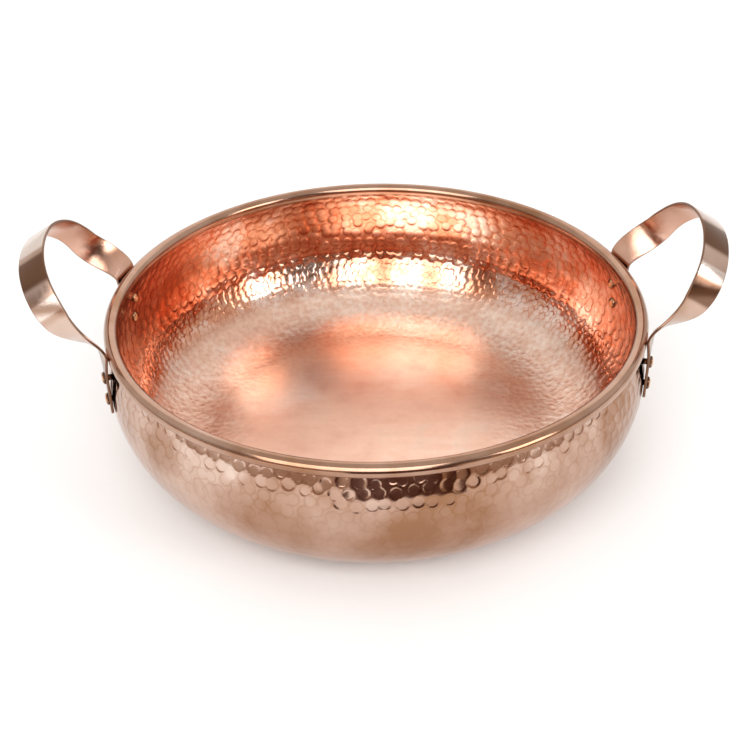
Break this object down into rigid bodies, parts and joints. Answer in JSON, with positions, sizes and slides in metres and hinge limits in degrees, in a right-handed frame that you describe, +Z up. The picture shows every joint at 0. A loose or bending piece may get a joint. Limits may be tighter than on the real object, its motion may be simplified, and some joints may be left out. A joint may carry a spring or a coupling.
{
  "type": "hammered copper bowl",
  "caption": "Shallow round hammered copper pan with a flat floor, a rolled wired rim and strap loop handles riveted to opposite sides of the wall.",
  "frame": {"origin": "centre of the flat underside of the floor", "axes": "+Z up out of the bowl, X through the two handles with handle_right at +X, -Y is the front"},
  "size_m": [0.4548, 0.362, 0.1628],
  "materials": {
    "hammered_copper": "hand-hammered bright copper, softly polished",
    "strap_copper": "smooth polished copper strap, lightly oxidised",
    "rivet_copper": "darkened copper rivet, polished on the dome",
    "wire_steel": "plain drawn steel wire"
  },
  "bodies": {
    "root": {"bowl": "hammered_copper", "rim_wire": "wire_steel", "handle_left": "strap_copper", "handle_right": "strap_copper", "rivet_left_front_upper": "rivet_copper", "rivet_left_front_lower": "rivet_copper", "rivet_left_back_upper": "rivet_copper", "rivet_left_back_lower": "rivet_copper", "rivet_right_front_upper": "rivet_copper", "rivet_right_front_lower": "rivet_copper", "rivet_right_back_upper": "rivet_copper", "rivet_right_back_lower": "rivet_copper"}
  },
  "joints": []
}
